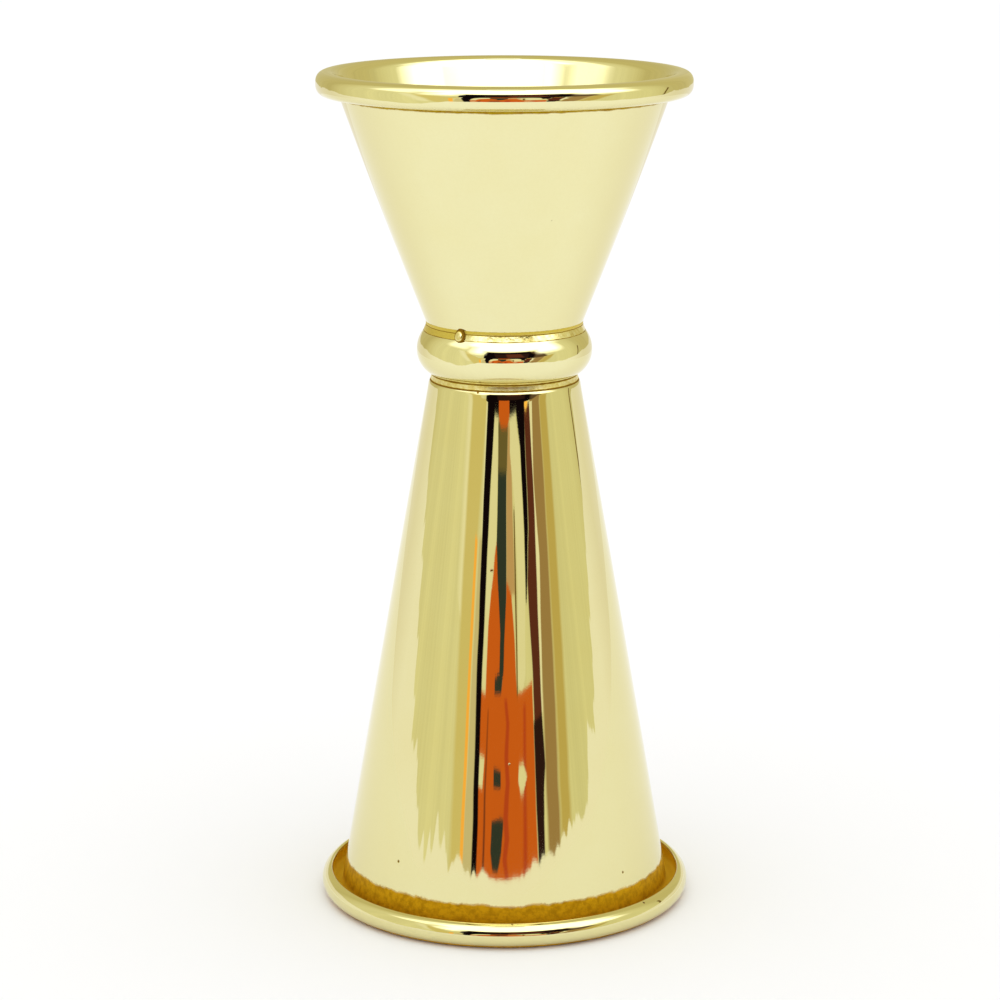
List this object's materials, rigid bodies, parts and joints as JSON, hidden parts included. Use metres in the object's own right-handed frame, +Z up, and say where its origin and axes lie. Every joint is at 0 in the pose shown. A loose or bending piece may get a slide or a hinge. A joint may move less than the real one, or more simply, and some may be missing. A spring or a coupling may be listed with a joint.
{
  "type": "bar jigger",
  "caption": "Double-ended spirit measure: a small and a large polished conical cup, rims rolled outwards, joined bottom to bottom by a brazed beaded collar.",
  "frame": {"origin": "centre of the large cup's mouth, on the plane that its rim stands on", "axes": "+Z up along the common axis of both cups, from the large cup's mouth to the small cup's mouth; -Y is the front, the braze drop is to its left"},
  "size_m": [0.052, 0.052, 0.116],
  "materials": {
    "cup_metal": "polished",
    "braze_metal": "satin"
  },
  "bodies": {
    "root": {"upper_cup": "cup_metal", "lower_cup": "cup_metal", "waist_collar": "cup_metal", "upper_braze_fillet": "braze_metal", "lower_braze_fillet": "braze_metal"}
  },
  "joints": []
}
